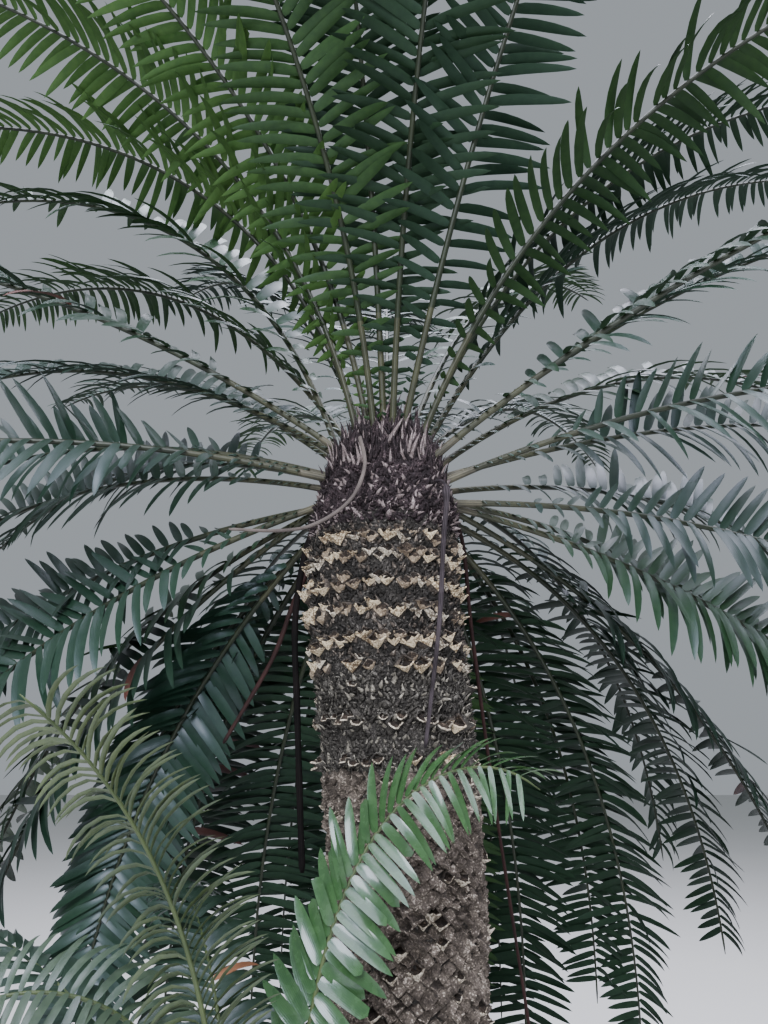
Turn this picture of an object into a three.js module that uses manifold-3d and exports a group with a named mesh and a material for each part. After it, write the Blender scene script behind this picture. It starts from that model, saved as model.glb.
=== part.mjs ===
// Natal giant cycad: an old plant with one scaly trunk, a crown of arching fronds
// and a young sucker at its foot. Millimetres, +Z up. The origin is on the ground
// under the trunk, and +Y points away from the open side of the crown.
import * as THREE from "three";
import Module from "manifold-3d";
import { mergeVertices } from "three/addons/utils/BufferGeometryUtils.js";

const wasm = await Module();
wasm.setup();

// Clear space between two pieces that rest on each other.
const GAP = 0.3;
// Clear space kept between leaflets of different fronds.
const LEAFLET_GAP = 1.5;

// Trunk: height and radius pairs from the flared foot to the crown.
const TRUNK_TOP = 2215;
const TRUNK_RADIUS = [
  [0, 262], [60, 243], [150, 220], [500, 190], [1000, 172], [1400, 184],
  [1800, 199], [2100, 200], [2215, 196],
];
// Trunk: height, then how far its middle strays in X and Y.
const TRUNK_LEAN = [
  [0, 0, 0], [500, 14, -4], [1000, 26, -6], [1250, 30, -4], [1650, 4, 0],
  [2000, -34, 0], [2300, -26, 0], [2600, -20, 0],
];
const TRUNK_SIDES = 27;
const TRUNK_RINGS = 38;
const SCALE_HEIGHT = 8;

// Crown bud: the shaggy dome that the frond stalks stand in.
const BUD_RADIUS = [
  [2215, 196], [2250, 193], [2290, 183], [2330, 172], [2370, 157], [2410, 138],
  [2450, 110], [2480, 84], [2505, 52], [2520, 0],
];
const BUD_SIDES = 24;
const BUD_RINGS = 10;
const CROWN_X = -20;
const CROWN_Y = 0;

// Sucker: a leaning young stem that grows from the trunk's foot.
const SUCKER_RADIUS = [
  [0, 96], [200, 84], [500, 80], [720, 88], [800, 84], [850, 66], [885, 38], [900, 0],
];
const SUCKER_LEAN = [
  [0, -200, -255], [300, -222, -340], [600, -236, -440], [900, -240, -510],
];
const SUCKER_SIDES = 15;
const SUCKER_RINGS = 14;

// Fronds of the crown. Each row gives the direction in plan (0 = +X, 90 = away from
// the open side), the rise above level at the stalk, how far it bends down by the tip
// and how far the blade has turned about its rib there, all in degrees.
const TIERS = [
  {
    name: "upright", seatRadius: 100, seatHeight: 2452, length: 2150, colour: 0x2f4f2a,
    rows: [
      [-160, 80, 86], [-138, 79, 88], [-114, 79, 90], [-98, 76, 60], [-82, 78, 86],
      [-60, 66, 28], [-30, 67, 82], [2, 69, 58], [16, 63, 48], [52, 66, 55],
      [90, 68, 55], [128, 66, 55], [154, 58, 65], [-179, 78, 92],
    ],
  },
  {
    name: "spreading", seatRadius: 135, seatHeight: 2400, length: 2200, colour: 0x2b4927,
    rows: [
      [-24, 33, 36], [8, 42, 28], [24, 40, 60], [58, 42, 52], [86, 44, 50],
      [112, 42, 50], [138, 40, 36], [158, 37, 52], [171, 76, 92], [-172, 34, 44],
    ],
  },
  {
    name: "arching", seatRadius: 162, seatHeight: 2346, length: 2150, colour: 0x294424,
    rows: [
      [-6, 22, 44], [14, 21, 30], [33, 16, 38], [50, 4, 88], [68, 8, 90], [98, 16, 52],
      [120, 6, 88], [143, 24, 46], [155, 17, 48], [168, 20, 62], [-170, 10, 44],
    ],
  },
  {
    name: "hanging", seatRadius: 182, seatHeight: 2292, length: 2100, colour: 0x243d20,
    rows: [
      [6, 2, 44], [24, -2, 58], [41, -8, 78], [56, -16, 80], [71, -20, 77],
      [90, -14, 76], [107, -18, 74], [122, -16, 74], [136, -21, 60, -80], [148, -12, 62],
      [162, -4, 52],
    ],
  },
];
const BEND_POWER = 1.25;
// Every second stalk of a tier stands higher and further in.
const SEAT_STAGGER_IN = 16;
const SEAT_STAGGER_UP = 24;
const SEAT_DEPTH = 45;
const STEEPEST_SEAT = 70;

// Fronds of the sucker: direction, rise, bend, length, where the bend comes, and how
// far the blade rolls about its rib at the stalk.
const SUCKER_SEAT = 60;
const SUCKER_SEAT_HEIGHT = 858;
const SUCKER_SEAT_DEPTH = 25;
const SUCKER_ROWS = [
  [14, 84, 117, 1070, 3.2, 60], [236, 84, 52, 1030, 1.45, 0], [200, 84, 120, 780, 1.78, 0],
  [160, 62, 60, 1000, 1.0, 0], [114, 62, 66, 1050, 1.0, 0],
];

// Frond parts.
const STALK_SHARE = 0.13;
const STALK_STEPS = 3;
const LEAFLET_STEPS = 25;
const SUCKER_LEAFLET_STEPS = 17;
const RIB_WIDTH = [30, 20, 6];
const RIB_DEPTH = [26, 19, 8];
const LEAFLET_LENGTH = 240;
const SUCKER_LEAFLET_LENGTH = 165;
const LEAFLET_SAGS = [0.3, 0.08, 0.55];
const LEAFLET_SHARES = [1, 0.8, 0.6, 0.42];

// Dead stalks that hang from the crown: points along each, and its thickness at
// the top and at the broken end.
const DEAD_STALKS = [
  {
    name: "dead_stalk_front", width: [24, 11], colour: 0x4a3038,
    path: [[70, -90, 2290], [112, -152, 2286], [125, -197, 2236], [113, -207, 2100],
      [98, -211, 1900], [61, -227, 1630]],
  },
  {
    name: "dead_stalk_right", width: [18, 12], colour: 0x5a2a20,
    path: [[110, 60, 2242], [186, 106, 2228], [218, 158, 1930], [267, 205, 1500], [345, 255, 900]],
  },
  {
    name: "dead_stalk_left", width: [19, 18], colour: 0x3a211c,
    path: [[-140, 40, 2242], [-226, 72, 2226], [-274, 112, 2000], [-262, 140, 1700], [-240, 165, 1330]],
  },
  {
    name: "dead_stalk_bent", width: [19, 11], colour: 0x6a3224,
    path: [[-120, 90, 2242], [-200, 152, 2224], [-288, 205, 2050], [-352, 235, 1880], [-480, 250, 1650]],
  },
  {
    name: "dry_stem", width: [11, 8], colour: 0x8a7350,
    path: [[-84, -60, 2410], [-92, -160, 2400], [-78, -206, 2304], [-112, -226, 2208],
      [-196, -214, 2150], [-290, -170, 2146], [-427, -110, 2168]],
  },
];

function table(rows, at, column = 1) {
  let low = rows[0];
  for (const high of rows) {
    if (at <= high[0]) {
      const t = high[0] === low[0] ? 0 : (at - low[0]) / (high[0] - low[0]);
      return low[column] + (high[column] - low[column]) * t;
    }
    low = high;
  }
  return low[column];
}

function smoothTable(rows, at, column = 1) {
  const reach = 60;
  let sum = 0;
  for (const step of [-1, 0, 1]) {
    sum += table(rows, at + step * reach, column);
  }
  return sum / 3;
}

// A solid stem of staggered rings, its skin raised in a lattice of low points like
// old leaf bases. It ends in a flat cut at each height where its radius is not 0.
function stemGeometry(radii, lean, sides, rings, bottom, top, relief, grow = 0) {
  const positions = [];
  const faces = [];
  const closed = table(radii, top) === 0;
  const lastRing = closed ? rings - 1 : rings;
  const centre = (z) => [smoothTable(lean, z, 1), smoothTable(lean, z, 2)];
  for (let j = 0; j <= lastRing; j += 1) {
    const z = bottom + ((top - bottom) * j) / rings;
    const [x, y] = centre(z);
    const lift = j === 0 ? -grow : j === lastRing ? grow : 0;
    for (let i = 0; i < sides; i += 1) {
      const angle = ((i + j / 2) * 2 * Math.PI) / sides;
      const colour = (((i - j) % 3) + 3) % 3;
      const edge = j === 0 || (!closed && j === rings);
      const bump = edge ? 0 : relief * (colour === 0 ? 0.7 : -0.35);
      const r = table(radii, z) + bump + grow;
      positions.push(x + r * Math.cos(angle), y + r * Math.sin(angle), z + lift);
    }
  }
  for (let j = 0; j < lastRing; j += 1) {
    for (let i = 0; i < sides; i += 1) {
      const a = j * sides + i;
      const b = j * sides + ((i + 1) % sides);
      const c = a + sides;
      const d = b + sides;
      faces.push(a, b, c);
      faces.push(b, d, c);
    }
  }
  const [bx, by] = centre(bottom);
  const foot = positions.length / 3;
  positions.push(bx, by, bottom - grow);
  const [tx, ty] = centre(top);
  const tip = positions.length / 3;
  positions.push(tx, ty, top + grow);
  for (let i = 0; i < sides; i += 1) {
    const next = (i + 1) % sides;
    faces.push(foot, next, i);
    faces.push(tip, lastRing * sides + i, lastRing * sides + next);
  }
  return indexed(positions, faces);
}

function indexed(positions, faces) {
  const geometry = new THREE.BufferGeometry();
  geometry.setAttribute("position", new THREE.Float32BufferAttribute(positions, 3));
  geometry.setIndex(faces);
  return geometry;
}

function toSolid(geometry) {
  const clean = mergeVertices(geometry, 1e-4);
  return new wasm.Manifold(new wasm.Mesh({
    numProp: 3,
    vertProperties: new Float32Array(clean.attributes.position.array),
    triVerts: new Uint32Array(clean.index.array),
  }));
}

function fromSolid(solid) {
  const mesh = solid.getMesh();
  const positions = [];
  for (let i = 0; i < mesh.numVert; i += 1) {
    for (let k = 0; k < 3; k += 1) {
      positions.push(mesh.vertProperties[i * mesh.numProp + k]);
    }
  }
  return indexed(positions, Array.from(mesh.triVerts));
}

// The part of a solid that lies outside another one: the largest remaining body.
function cutClear(geometry, tool) {
  const left = toSolid(geometry).subtract(tool).decompose();
  left.sort((a, b) => b.volume() - a.volume());
  return fromSolid(left[0]);
}

// Convex pieces of everything placed so far, for keeping leaflets clear.
const placed = [];

function convexPiece(owner, points, triangles) {
  const axes = [];
  const edges = [];
  for (const [a, b, c] of triangles) {
    const ab = points[b].clone().sub(points[a]);
    const ac = points[c].clone().sub(points[a]);
    const bc = points[c].clone().sub(points[b]);
    axes.push(ab.clone().cross(ac).normalize());
    edges.push(ab, ac, bc);
  }
  const box = new THREE.Box3().setFromPoints(points).expandByScalar(LEAFLET_GAP);
  return { owner, points, axes, edges, box };
}

function clearAlong(axis, a, b) {
  let aLow = Infinity;
  let aHigh = -Infinity;
  let bLow = Infinity;
  let bHigh = -Infinity;
  for (const p of a.points) {
    const d = axis.dot(p);
    aLow = Math.min(aLow, d);
    aHigh = Math.max(aHigh, d);
  }
  for (const p of b.points) {
    const d = axis.dot(p);
    bLow = Math.min(bLow, d);
    bHigh = Math.max(bHigh, d);
  }
  return aLow - bHigh > LEAFLET_GAP || bLow - aHigh > LEAFLET_GAP;
}

function clearOf(a, b) {
  if (!a.box.intersectsBox(b.box)) {
    return true;
  }
  if (a.axes.some((axis) => clearAlong(axis, a, b))) {
    return true;
  }
  if (b.axes.some((axis) => clearAlong(axis, a, b))) {
    return true;
  }
  const cross = new THREE.Vector3();
  for (const e of a.edges) {
    for (const f of b.edges) {
      cross.crossVectors(e, f);
      if (cross.lengthSq() > 1e-3 && clearAlong(cross.normalize(), a, b)) {
        return true;
      }
    }
  }
  return false;
}

function clearOfAll(piece) {
  return placed.every((other) => other.owner === piece.owner || clearOf(piece, other));
}

// Distance from a point to a stem's skin, measured level.
function outsideStem(p, radii, lean, bottom, top) {
  if (p.z < bottom || p.z > top) {
    return Infinity;
  }
  const x = smoothTable(lean, p.z, 1);
  const y = smoothTable(lean, p.z, 2);
  return Math.hypot(p.x - x, p.y - y) - table(radii, p.z) - SCALE_HEIGHT;
}

function clearOfStems(points) {
  const apex = points[points.length - 1];
  for (const start of points) {
    for (let k = 0; k <= 6; k += 1) {
      const p = start.clone().lerp(apex, k / 6);
      const gaps = [
        outsideStem(p, TRUNK_RADIUS, TRUNK_LEAN, -10, TRUNK_TOP),
        outsideStem(p, BUD_RADIUS, TRUNK_LEAN, TRUNK_TOP, 2530),
        outsideStem(p, SUCKER_RADIUS, SUCKER_LEAN, -10, 910),
      ];
      if (Math.min(...gaps) < 4) {
        return false;
      }
    }
  }
  return apex.z > 20;
}

// The middle line of a frond: it rises from its seat and bends down toward the tip.
// Its blade turns about the line, from the first of its rolls at the stalk to the last.
function frondLine(row, rolls, seat, length, power, steps) {
  const [azimuth, rise, bend] = row;
  const direction = THREE.MathUtils.degToRad(azimuth);
  const out = new THREE.Vector3(Math.cos(direction), Math.sin(direction), 0);
  const side = new THREE.Vector3(-out.y, out.x, 0);
  const fine = 240;
  const at = seat.clone();
  const line = [];
  let next = 0;
  for (let k = 0; k <= fine; k += 1) {
    const s = k / fine;
    const angle = THREE.MathUtils.degToRad(rise - bend * s ** power);
    const along = out.clone().multiplyScalar(Math.cos(angle));
    along.z = Math.sin(angle);
    while (next < steps.length && steps[next] <= s + 1e-9) {
      const turn = THREE.MathUtils.degToRad(rolls[0] + (rolls[1] - rolls[0]) * s * s);
      const upright = along.clone().cross(side).normalize();
      const across = side.clone().multiplyScalar(Math.cos(turn)).addScaledVector(upright, Math.sin(turn));
      const up = upright.multiplyScalar(Math.cos(turn)).addScaledVector(side, -Math.sin(turn));
      line.push({ s: steps[next], at: at.clone(), along: along.clone(), side: across, up });
      next += 1;
    }
    at.addScaledVector(along, length / fine);
  }
  return line;
}

function along3([first, middle, last], s) {
  const knee = 0.07;
  if (s < knee) {
    return first + (middle - first) * (s / knee);
  }
  return middle + (last - middle) * ((s - knee) / (1 - knee));
}

// Share of the full leaflet length at a place along the leafy part of a frond.
function leafletShare(t) {
  const grow = Math.min(1, 0.16 + t / 0.28);
  const fade = t < 0.6 ? 1 : 1 - 0.55 * ((t - 0.6) / 0.4) ** 1.5;
  return grow * fade;
}

// How far a leaflet sweeps toward the frond's tip, in degrees.
function leafletSweep(t) {
  return 26 + 30 * t;
}

const fronds = [];

function planFrond(name, row, rolls, seat, length, power, leafletSteps, leafletLength, scale, colour) {
  const steps = [];
  for (let k = 0; k < STALK_STEPS; k += 1) {
    steps.push((STALK_SHARE * k) / STALK_STEPS);
  }
  for (let k = 0; k <= leafletSteps; k += 1) {
    steps.push(STALK_SHARE + ((1 - STALK_SHARE) * k) / leafletSteps);
  }
  const rings = frondLine(row, rolls, seat, length, power, steps).map((station) => {
    const half = (along3(RIB_WIDTH, station.s) * scale) / 2;
    const deep = along3(RIB_DEPTH, station.s) * scale;
    return {
      ...station,
      left: station.at.clone().addScaledVector(station.side, half),
      right: station.at.clone().addScaledVector(station.side, -half),
      keel: station.at.clone().addScaledVector(station.up, -deep),
    };
  });
  for (let i = 0; i + 1 < rings.length; i += 1) {
    const a = rings[i];
    const b = rings[i + 1];
    const points = [a.left, a.right, a.keel, b.left, b.right, b.keel];
    const triangles = [[0, 1, 2], [3, 4, 5], [0, 1, 4], [1, 2, 5], [2, 0, 3]];
    placed.push(convexPiece(name, points, triangles));
  }
  fronds.push({ name, rings, leafletLength, leafletSteps, colour, teeth: new Map() });
}

// One leaflet: a pointed wedge that stands on one side of one rib step.
function tryLeaflet(frond, i, hand) {
  const a = frond.rings[i];
  const b = frond.rings[i + 1];
  const near = hand > 0 ? a.left : a.right;
  const far = hand > 0 ? b.left : b.right;
  const t = (i + 0.5 - STALK_STEPS) / frond.leafletSteps;
  const sweep = THREE.MathUtils.degToRad(leafletSweep(t));
  const foot = near.clone().lerp(far, 0.5);
  for (const share of LEAFLET_SHARES) {
    for (const sag of LEAFLET_SAGS) {
      const reach = frond.leafletLength * leafletShare(t) * share;
      const aim = a.side.clone().multiplyScalar(hand * Math.cos(sweep));
      aim.addScaledVector(a.along, Math.sin(sweep));
      aim.z -= sag;
      const apex = foot.clone().addScaledVector(aim.normalize(), reach);
      const points = [near, far, b.keel, a.keel, apex];
      const triangles = [[0, 1, 4], [1, 2, 4], [2, 3, 4], [3, 0, 4], [0, 1, 2]];
      const piece = convexPiece(frond.name, points, triangles);
      if (clearOfStems(points) && clearOfAll(piece)) {
        placed.push(piece);
        frond.teeth.set(`${i},${hand}`, apex);
        return;
      }
    }
  }
}

function frondGeometry(frond) {
  const positions = [];
  const faces = [];
  const vertex = (p) => {
    positions.push(p.x, p.y, p.z);
    return positions.length / 3 - 1;
  };
  const ids = frond.rings.map((ring) => [vertex(ring.left), vertex(ring.right), vertex(ring.keel)]);
  const side = (corners, apex) => {
    const [a, b, c, d] = corners;
    if (apex === undefined) {
      faces.push(a, b, c);
      faces.push(a, c, d);
      return;
    }
    const tip = vertex(apex);
    faces.push(a, b, tip);
    faces.push(b, c, tip);
    faces.push(c, d, tip);
    faces.push(d, a, tip);
  };
  for (let i = 0; i + 1 < ids.length; i += 1) {
    const [l, r, k] = ids[i];
    const [l2, r2, k2] = ids[i + 1];
    faces.push(l, r, r2);
    faces.push(l, r2, l2);
    side([l, l2, k2, k], frond.teeth.get(`${i},1`));
    side([r2, r, k, k2], frond.teeth.get(`${i},-1`));
  }
  const last = frond.rings[frond.rings.length - 1];
  const tip = vertex(last.at.clone().addScaledVector(last.along, 40).addScaledVector(last.up, -3));
  const [l, r, k] = ids[ids.length - 1];
  faces.push(ids[0][0], ids[0][2], ids[0][1]);
  faces.push(l, r, tip);
  faces.push(r, k, tip);
  faces.push(k, l, tip);
  return indexed(positions, faces);
}

// A bare stalk of four sides along a smooth line.
function stalkGeometry(stalk) {
  const curve = new THREE.CatmullRomCurve3(stalk.path.map((p) => new THREE.Vector3(...p)), false, "centripetal");
  const steps = 14;
  const rings = [];
  for (let k = 0; k <= steps; k += 1) {
    const s = k / steps;
    const at = curve.getPointAt(s);
    const along = curve.getTangentAt(s);
    const side = new THREE.Vector3(0.31, 0.95, 0).cross(along).normalize();
    const up = along.clone().cross(side).normalize();
    const half = (stalk.width[0] + (stalk.width[1] - stalk.width[0]) * s) / 2;
    rings.push([
      at.clone().addScaledVector(side, half), at.clone().addScaledVector(up, half * 0.8),
      at.clone().addScaledVector(side, -half), at.clone().addScaledVector(up, -half * 0.8),
    ]);
  }
  const positions = [];
  const faces = [];
  for (const ring of rings) {
    for (const p of ring) {
      positions.push(p.x, p.y, p.z);
    }
  }
  for (let j = 0; j < steps; j += 1) {
    for (let i = 0; i < 4; i += 1) {
      const a = j * 4 + i;
      const b = j * 4 + ((i + 1) % 4);
      faces.push(a, b, b + 4);
      faces.push(a, b + 4, a + 4);
    }
    const points = [...rings[j], ...rings[j + 1]];
    const triangles = [[0, 1, 5], [1, 2, 6], [2, 3, 7], [3, 0, 4]];
    placed.push(convexPiece(stalk.name, points, triangles));
  }
  const end = steps * 4;
  faces.push(0, 2, 1);
  faces.push(0, 3, 2);
  faces.push(end, end + 1, end + 2);
  faces.push(end, end + 2, end + 3);
  return indexed(positions, faces);
}

const plant = new THREE.Group();

function add(name, geometry, colour, roughness) {
  const shown = geometry.toNonIndexed();
  shown.computeVertexNormals();
  const material = new THREE.MeshStandardMaterial({ color: colour, roughness, metalness: 0 });
  const mesh = new THREE.Mesh(shown, material);
  mesh.name = name;
  plant.add(mesh);
}

// Trunk, bud and sucker, and slightly grown copies of them that cut what rests on them.
const trunkArgs = [TRUNK_RADIUS, TRUNK_LEAN, TRUNK_SIDES, TRUNK_RINGS, 0, TRUNK_TOP, SCALE_HEIGHT];
const budArgs = [BUD_RADIUS, TRUNK_LEAN, BUD_SIDES, BUD_RINGS, TRUNK_TOP + GAP, 2520, 7];
const suckerArgs = [SUCKER_RADIUS, SUCKER_LEAN, SUCKER_SIDES, SUCKER_RINGS, 0, 900, 5];
const trunkTool = toSolid(stemGeometry(...trunkArgs, GAP));
const budTool = toSolid(stemGeometry(...budArgs, GAP));
const crownTool = budTool.add(trunkTool);
const suckerTool = toSolid(stemGeometry(...suckerArgs, GAP));

add("trunk", stemGeometry(...trunkArgs), 0x7a6a50, 0.95);
add("crown_bud", stemGeometry(...budArgs), 0x33261c, 0.95);
add("sucker_stem", cutClear(stemGeometry(...suckerArgs), trunkTool), 0x5c4c38, 0.95);

for (const stalk of DEAD_STALKS) {
  const geometry = stalkGeometry(stalk);
  add(stalk.name, cutClear(geometry, crownTool), stalk.colour, 0.8);
}

// Fronds: every rib first, then the leaflets of all fronds in turn.
for (const tier of TIERS) {
  tier.rows.forEach((row, index) => {
    const direction = THREE.MathUtils.degToRad(row[0]);
    const odd = index % 2;
    const inner = tier.seatRadius - SEAT_DEPTH - odd * SEAT_STAGGER_IN;
    const slope = THREE.MathUtils.degToRad(Math.min(row[1], STEEPEST_SEAT));
    const drop = SEAT_DEPTH * Math.tan(slope) - odd * SEAT_STAGGER_UP;
    const seat = new THREE.Vector3(
      CROWN_X + inner * Math.cos(direction),
      CROWN_Y + inner * Math.sin(direction),
      tier.seatHeight - drop,
    );
    const name = `frond_${tier.name}_${String(index + 1).padStart(2, "0")}`;
    const rolls = [0, row[3] ?? 0];
    planFrond(name, row, rolls, seat, tier.length, BEND_POWER, LEAFLET_STEPS, LEAFLET_LENGTH, 1, tier.colour);
  });
}
SUCKER_ROWS.forEach((row, index) => {
  const direction = THREE.MathUtils.degToRad(row[0]);
  const [x, y] = [smoothTable(SUCKER_LEAN, 850, 1), smoothTable(SUCKER_LEAN, 850, 2)];
  const inner = SUCKER_SEAT - SUCKER_SEAT_DEPTH;
  const drop = SUCKER_SEAT_DEPTH * Math.tan(THREE.MathUtils.degToRad(Math.min(row[1], STEEPEST_SEAT)));
  const seat = new THREE.Vector3(
    x + inner * Math.cos(direction),
    y + inner * Math.sin(direction),
    SUCKER_SEAT_HEIGHT - drop,
  );
  const name = `sucker_frond_${index + 1}`;
  const rolls = [row[5], 0];
  planFrond(name, row, rolls, seat, row[3], row[4], SUCKER_LEAFLET_STEPS, SUCKER_LEAFLET_LENGTH, 0.62, 0x3f6a38);
});

const mostSteps = Math.max(LEAFLET_STEPS, SUCKER_LEAFLET_STEPS);
for (let k = 0; k < mostSteps; k += 1) {
  for (const frond of fronds) {
    if (k < frond.leafletSteps) {
      tryLeaflet(frond, STALK_STEPS + k, 1);
      tryLeaflet(frond, STALK_STEPS + k, -1);
    }
  }
}

for (const frond of fronds) {
  const tool = frond.name.startsWith("sucker") ? suckerTool : budTool;
  add(frond.name, cutClear(frondGeometry(frond), tool), frond.colour, 0.45);
}

export default plant;
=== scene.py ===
import math

import bpy
import numpy as np
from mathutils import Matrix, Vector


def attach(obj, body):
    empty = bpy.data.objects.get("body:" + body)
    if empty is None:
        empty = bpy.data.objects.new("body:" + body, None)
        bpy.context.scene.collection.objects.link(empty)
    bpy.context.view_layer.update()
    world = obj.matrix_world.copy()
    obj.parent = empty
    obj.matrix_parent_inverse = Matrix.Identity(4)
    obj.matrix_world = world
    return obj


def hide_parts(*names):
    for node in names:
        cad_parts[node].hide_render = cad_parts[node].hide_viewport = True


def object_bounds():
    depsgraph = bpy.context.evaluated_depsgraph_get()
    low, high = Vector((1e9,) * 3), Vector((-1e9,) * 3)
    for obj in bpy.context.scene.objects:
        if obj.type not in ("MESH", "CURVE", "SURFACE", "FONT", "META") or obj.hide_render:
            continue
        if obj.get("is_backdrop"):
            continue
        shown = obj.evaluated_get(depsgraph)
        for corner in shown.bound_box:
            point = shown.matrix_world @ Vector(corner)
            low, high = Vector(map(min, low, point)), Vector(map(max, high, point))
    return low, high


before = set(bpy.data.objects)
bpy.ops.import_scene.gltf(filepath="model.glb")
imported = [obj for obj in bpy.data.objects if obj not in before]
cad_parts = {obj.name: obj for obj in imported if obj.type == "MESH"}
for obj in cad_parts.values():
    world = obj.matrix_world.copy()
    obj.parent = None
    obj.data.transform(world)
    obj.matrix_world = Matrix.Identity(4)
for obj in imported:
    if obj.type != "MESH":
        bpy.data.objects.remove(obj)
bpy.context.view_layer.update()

# Natal giant cycad, in metres. It grows by the same rules as the solids, down to single
# leaflets, old leaf bases and bud scales.

# Trunk: height and radius, then height and how far its middle strays in X and Y.
TRUNK_TOP = 2.215
TRUNK_RADIUS = [
    (0, 0.262), (0.06, 0.243), (0.15, 0.22), (0.5, 0.19), (1.0, 0.172), (1.4, 0.184),
    (1.8, 0.199), (2.1, 0.2), (TRUNK_TOP, 0.196),
]
TRUNK_LEAN = [
    (0, 0, 0), (0.5, 0.014, -0.004), (1.0, 0.026, -0.006), (1.25, 0.03, -0.004),
    (1.65, 0.004, 0), (2.0, -0.034, 0), (2.3, -0.026, 0), (2.6, -0.02, 0),
]
BUD_TOP = 2.52
BUD_RADIUS = [
    (2.2, 0.19), (2.25, 0.188), (2.29, 0.178), (2.33, 0.167), (2.37, 0.152),
    (2.41, 0.133), (2.45, 0.105), (2.48, 0.079), (2.505, 0.047), (BUD_TOP, 0.0),
]
SUCKER_TOP = 0.9
SUCKER_RADIUS = [
    (0, 0.096), (0.2, 0.084), (0.5, 0.08), (0.72, 0.086), (0.8, 0.08), (0.85, 0.062),
    (0.885, 0.034), (SUCKER_TOP, 0.0),
]
SUCKER_LEAN = [
    (0, -0.2, -0.255), (0.3, -0.222, -0.34), (0.6, -0.236, -0.44), (0.9, -0.24, -0.51),
]
LEAN_SMOOTHING = 0.06
UP = np.array([0.0, 0.0, 1.0])

CROWN = (-0.02, 0.0)
BEND_POWER = 1.25
SEAT_DEPTH = 0.045
SEAT_STAGGER_IN = 0.016
SEAT_STAGGER_UP = 0.024
STEEPEST_SEAT = 70
# Tiers of fronds: radius and height of their seats, length, how their layers are turned, and
# the fronds: direction in plan, rise at the stalk and bend to the tip, in degrees. Each solid
# of the hanging tier stands for two fronds, one in each layer.
ONE_LAYER = [(0, 0, 0)]
TIERS = {
    "upright": (0.1, 2.452, 2.15, ONE_LAYER, [
        (-160, 80, 86), (-138, 79, 88), (-114, 79, 90), (-98, 76, 60), (-82, 78, 86),
        (-60, 66, 28), (-30, 67, 82), (2, 69, 58), (16, 63, 48), (52, 66, 55), (90, 68, 55),
        (128, 66, 55), (154, 58, 65), (-179, 78, 92),
    ]),
    "spreading": (0.135, 2.4, 2.2, ONE_LAYER, [
        (-24, 33, 36), (8, 42, 28), (24, 40, 60), (58, 42, 52), (86, 44, 50), (112, 42, 50),
        (138, 40, 36), (158, 37, 52), (171, 76, 92), (-172, 34, 44),
    ]),
    "arching": (0.162, 2.346, 2.15, ONE_LAYER, [
        (-6, 22, 44), (14, 21, 30), (33, 16, 38), (50, 4, 88), (68, 8, 90), (98, 16, 52),
        (120, 6, 88), (143, 24, 46), (155, 17, 48), (168, 20, 62), (-170, 10, 44),
    ]),
    "hanging": (0.182, 2.292, 2.1, [*ONE_LAYER, (8, -13, -4)], [
        (6, 2, 44), (24, -2, 58), (41, -8, 78), (56, -16, 80), (71, -20, 77), (90, -14, 76),
        (107, -18, 74), (122, -16, 74), (136, -21, 60), (148, -12, 62), (162, -4, 52),
    ]),
}
SUCKER_CROWN = 0.85
SUCKER_SEAT = 0.06
SUCKER_SEAT_HEIGHT = 0.858
SUCKER_SEAT_DEPTH = 0.025
# Sucker fronds: direction, rise, bend, length, where the bend comes, and the roll of
# the blade about its rib at the stalk.
SUCKER_ROWS = [
    (14, 84, 117, 1.07, 3.2, 60), (236, 84, 52, 1.03, 1.45, 0), (200, 84, 120, 0.78, 1.78, 0),
    (160, 62, 60, 1.0, 1.0, 0), (114, 62, 66, 1.05, 1.0, 0),
]
STALK_SHARE = 0.13
RIB_WIDTH = (0.03, 0.02, 0.006)
RIB_DEPTH = (0.026, 0.019, 0.008)
RIB_KNEE = 0.07
RIB_TIP = 0.032
RIB_SIDES = 12
# Shares of a rib where its paint changes, and how thin the sucker's ribs are beside the crown's.
RIB_PAINT_EDGES = [0.06, 0.2]
YOUNG_RIB_SHARE = 0.62
# Prickles on a stalk: where they stand, how long and how wide they are.
PRICKLES_AT = np.array([0.06, 0.078, 0.093, 0.107, 0.119])
PRICKLE_LENGTH = (0.014, 0.03)
PRICKLE_WIDTH = 0.009

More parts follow.
